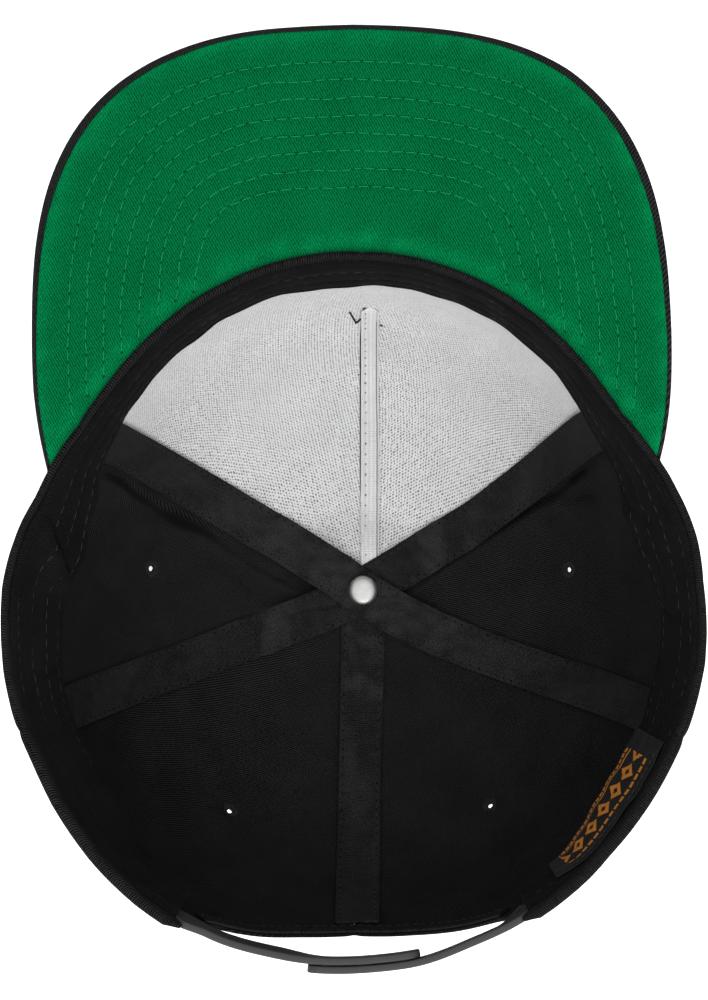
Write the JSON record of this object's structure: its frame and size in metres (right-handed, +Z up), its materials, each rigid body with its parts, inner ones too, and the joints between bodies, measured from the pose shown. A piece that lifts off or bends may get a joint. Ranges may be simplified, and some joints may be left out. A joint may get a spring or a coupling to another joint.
{
  "type": "snapback cap",
  "caption": "Panelled cloth cap with a flat visor, lying upside down on its crown: open hollow with sweatband, crossed seam tapes, stiff white front cloth and plastic snap straps.",
  "frame": {"origin": "on the surface the cap lies on, under the middle of its bounding box", "axes": "+Y towards the visor, +X towards the wearer's left, +Z up out of the open underside"},
  "size_m": [0.204, 0.276, 0.1132],
  "materials": {
    "black_twill": "black cotton twill, fine diagonal rib, matte",
    "green_twill": "green cotton twill, fine diagonal rib, matte",
    "buckram": "stiff white open-weave cloth",
    "seam_tape": "black woven tape, stitched along both edges",
    "sweatband": "black twill band with rows of grey stitching",
    "label_weave": null,
    "eyelet_thread": "embroidered black thread",
    "strap_plastic": "moulded black plastic, satin",
    "rivet_metal": "nickel plated, satin"
  },
  "bodies": {
    "root": {"front_panel_left": "black_twill", "front_panel_right": "black_twill", "side_panel_left": "black_twill", "side_panel_right": "black_twill", "back_panel_left": "black_twill", "back_panel_right": "black_twill", "visor_top_cover": "black_twill", "top_button": "black_twill", "visor_under_cover": "green_twill", "buckram_left": "buckram", "buckram_right": "buckram", "front_seam_strip": "buckram", "seam_tape_back": "seam_tape", "seam_tape_front_left_rear_right": "seam_tape", "seam_tape_front_right_rear_left": "seam_tape", "opening_binding": "seam_tape", "sweatband": "sweatband", "label": "label_weave", "eyelet_side_left": "eyelet_thread", "eyelet_side_right": "eyelet_thread", "eyelet_rear_left": "eyelet_thread", "eyelet_rear_right": "eyelet_thread", "strap_with_pegs": "strap_plastic", "strap_with_holes": "strap_plastic", "rivet": "rivet_metal"}
  },
  "joints": []
}
